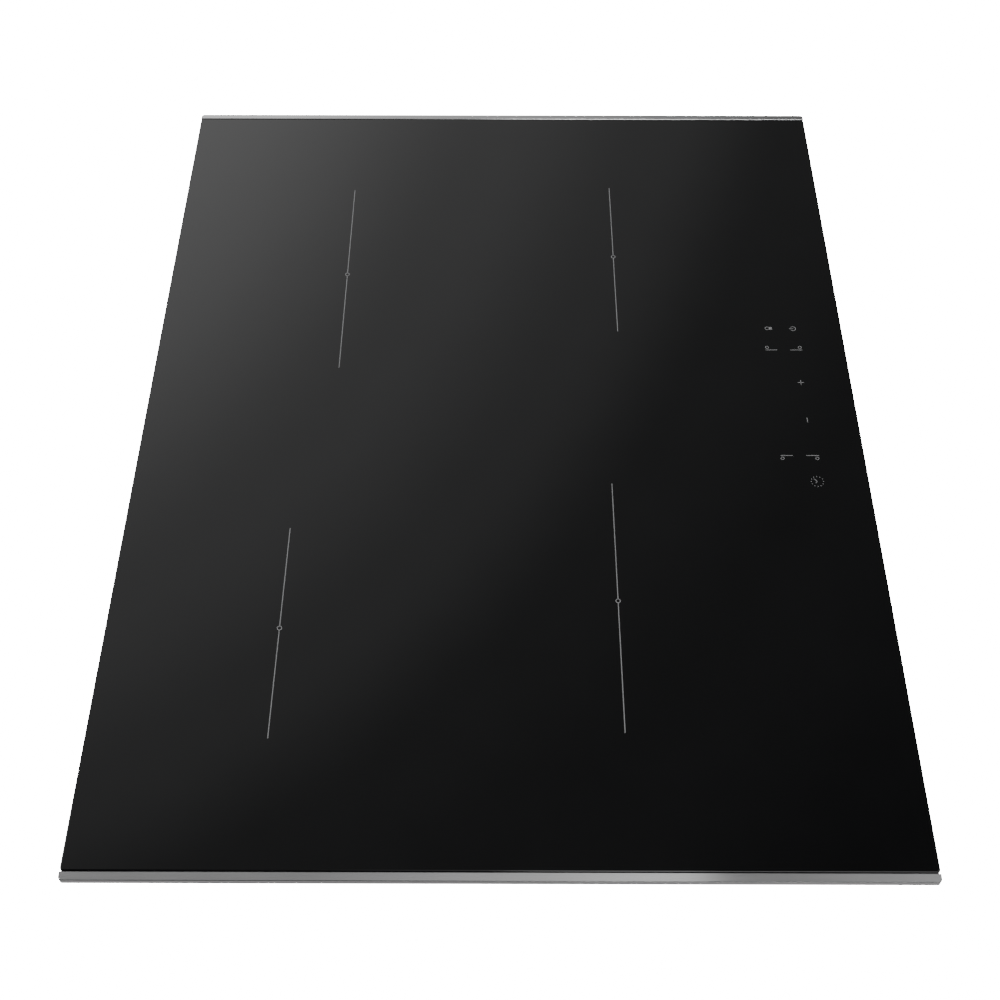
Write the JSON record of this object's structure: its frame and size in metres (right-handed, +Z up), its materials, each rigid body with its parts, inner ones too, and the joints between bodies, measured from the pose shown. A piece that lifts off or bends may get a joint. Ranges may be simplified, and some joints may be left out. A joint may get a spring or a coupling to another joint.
{
  "type": "electric induction cooktop",
  "caption": "Built-in induction cooktop with a black glass-ceramic top, metal side trims, sprung coils, blowers, touch controls and swivel clamps.",
  "frame": {"origin": "centre of the underside of the sheet-metal pan", "axes": "+X to the user's right, -Y towards the user, +Z up out of the glass"},
  "size_m": [0.7, 0.52, 0.058],
  "materials": {
    "black_adhesive": "matt silicone",
    "black_glass_ceramic": "polished black glass-ceramic, opaque",
    "black_plastic": "moulded, fine texture",
    "capacitor_plastic": "boxed film capacitor",
    "carrier_plastic": "glass-filled moulding",
    "circuit_board": "solder mask",
    "copper_choke": "enamelled copper winding",
    "ferrite": "sintered ferrite",
    "foam_seal": "closed-cell foam",
    "galvanised_steel": "galvanised, dull spangle",
    "lead_sleeve": "silicone sleeve",
    "litz_copper": "varnished litz wire",
    "mica": "mica sheet",
    "natural_plastic": "moulded, natural",
    "plain_aluminium": "mill finish",
    "ribbon_cable": "flat ribbon cable",
    "rubber_gland": "moulded rubber",
    "satin_aluminium": "satin anodised, brushed along its length",
    "sensor_ceramic": "glazed sleeve",
    "spring_steel": "drawn wire",
    "zinc_screws": "zinc plated"
  },
  "bodies": {
    "cooktop": {"base_pan": "galvanised_steel", "blower_housing_left": "black_plastic", "blower_housing_right": "black_plastic", "blower_motors": "zinc_screws", "board_connectors": "natural_plastic", "board_posts": "natural_plastic", "cable_gland": "rubber_gland", "clamp_screws": "zinc_screws", "coil_leads": "lead_sleeve", "coil_plate": "plain_aluminium", "coil_plate_posts": "zinc_screws", "coil_plate_screws": "zinc_screws", "coil_springs": "spring_steel", "control_ribbon": "ribbon_cable", "glass_plate": "black_glass_ceramic", "heat_sinks": "plain_aluminium", "led_displays": "black_plastic", "line_chokes": "copper_choke", "mains_leads": "lead_sleeve", "pan_sealant": "black_adhesive", "power_boards": "circuit_board", "power_transistors": "black_plastic", "resonant_capacitors": "capacitor_plastic", "terminal_block": "natural_plastic", "terminal_box": "black_plastic", "terminal_screws": "zinc_screws", "touch_board": "circuit_board", "touch_contact_springs": "spring_steel", "touch_tray": "natural_plastic", "trim_adhesive": "black_adhesive", "trim_left": "satin_aluminium", "trim_right": "satin_aluminium", "worktop_seal": "foam_seal"},
    "coil_rear_right": {"coil_carrier_rear_right": "carrier_plastic", "coil_winding_rear_right": "litz_copper", "coil_ferrites_rear_right": "ferrite", "coil_insulation_rear_right": "mica", "coil_sensor_rear_right": "sensor_ceramic"},
    "coil_front_right": {"coil_carrier_front_right": "carrier_plastic", "coil_winding_front_right": "litz_copper", "coil_ferrites_front_right": "ferrite", "coil_insulation_front_right": "mica", "coil_sensor_front_right": "sensor_ceramic"},
    "coil_rear_left": {"coil_carrier_rear_left": "carrier_plastic", "coil_winding_rear_left": "litz_copper", "coil_ferrites_rear_left": "ferrite", "coil_insulation_rear_left": "mica", "coil_sensor_rear_left": "sensor_ceramic"},
    "coil_front_left": {"coil_carrier_front_left": "carrier_plastic", "coil_winding_front_left": "litz_copper", "coil_ferrites_front_left": "ferrite", "coil_insulation_front_left": "mica", "coil_sensor_front_left": "sensor_ceramic"},
    "clamp_front_left": {"clamp_front_left": "galvanised_steel"},
    "clamp_front_right": {"clamp_front_right": "galvanised_steel"},
    "clamp_rear_left": {"clamp_rear_left": "galvanised_steel"},
    "clamp_rear_right": {"clamp_rear_right": "galvanised_steel"},
    "rotor_left": {"blower_rotor_left": "black_plastic"},
    "rotor_right": {"blower_rotor_right": "black_plastic"},
    "terminal_cover": {"terminal_cover": "black_plastic"}
  },
  "joints": [
    {"name": "coil_rear_right_float", "type": "slide", "parent": "cooktop", "child": "coil_rear_right", "axis": [0, 0, 1], "range_m": [-0.003, 0], "stiffness_N_per_m": 4000, "springref_m": 0.0015, "deforming": ["coil_springs", "coil_leads"]},
    {"name": "coil_front_right_float", "type": "slide", "parent": "cooktop", "child": "coil_front_right", "axis": [0, 0, 1], "range_m": [-0.003, 0], "stiffness_N_per_m": 4000, "springref_m": 0.0015, "deforming": ["coil_springs", "coil_leads"]},
    {"name": "coil_rear_left_float", "type": "slide", "parent": "cooktop", "child": "coil_rear_left", "axis": [0, 0, 1], "range_m": [-0.003, 0], "stiffness_N_per_m": 4000, "springref_m": 0.0015, "deforming": ["coil_springs", "coil_leads"]},
    {"name": "coil_front_left_float", "type": "slide", "parent": "cooktop", "child": "coil_front_left", "axis": [0, 0, 1], "range_m": [-0.003, 0], "stiffness_N_per_m": 4000, "springref_m": 0.0015, "deforming": ["coil_springs", "coil_leads"]},
    {"name": "rotor_left_spin", "type": "hinge", "parent": "cooktop", "child": "rotor_left", "pos_m": [-0.13, 0.105, 0.016], "axis": [0, 0, 1], "continuous": true},
    {"name": "rotor_right_spin", "type": "hinge", "parent": "cooktop", "child": "rotor_right", "pos_m": [0.13, 0.105, 0.016], "axis": [0, 0, 1], "continuous": true},
    {"name": "clamp_front_left_swivel", "type": "hinge", "parent": "cooktop", "child": "clamp_front_left", "pos_m": [-0.144, -0.233, 0.006], "axis": [0, 0, -1], "range_deg": [0, 90]},
    {"name": "clamp_front_right_swivel", "type": "hinge", "parent": "cooktop", "child": "clamp_front_right", "pos_m": [0.144, -0.233, 0.006], "axis": [0, 0, 1], "range_deg": [0, 90]},
    {"name": "clamp_rear_left_swivel", "type": "hinge", "parent": "cooktop", "child": "clamp_rear_left", "pos_m": [-0.144, 0.233, 0.006], "axis": [0, 0, 1], "range_deg": [0, 90]},
    {"name": "clamp_rear_right_swivel", "type": "hinge", "parent": "cooktop", "child": "clamp_rear_right", "pos_m": [0.144, 0.233, 0.006], "axis": [0, 0, -1], "range_deg": [0, 90]},
    {"name": "terminal_cover_hinge", "type": "hinge", "parent": "cooktop", "child": "terminal_cover", "pos_m": [0.224, 0.1844, 0.0025], "axis": [-1, 0, 0], "range_deg": [0, 90]}
  ]
}
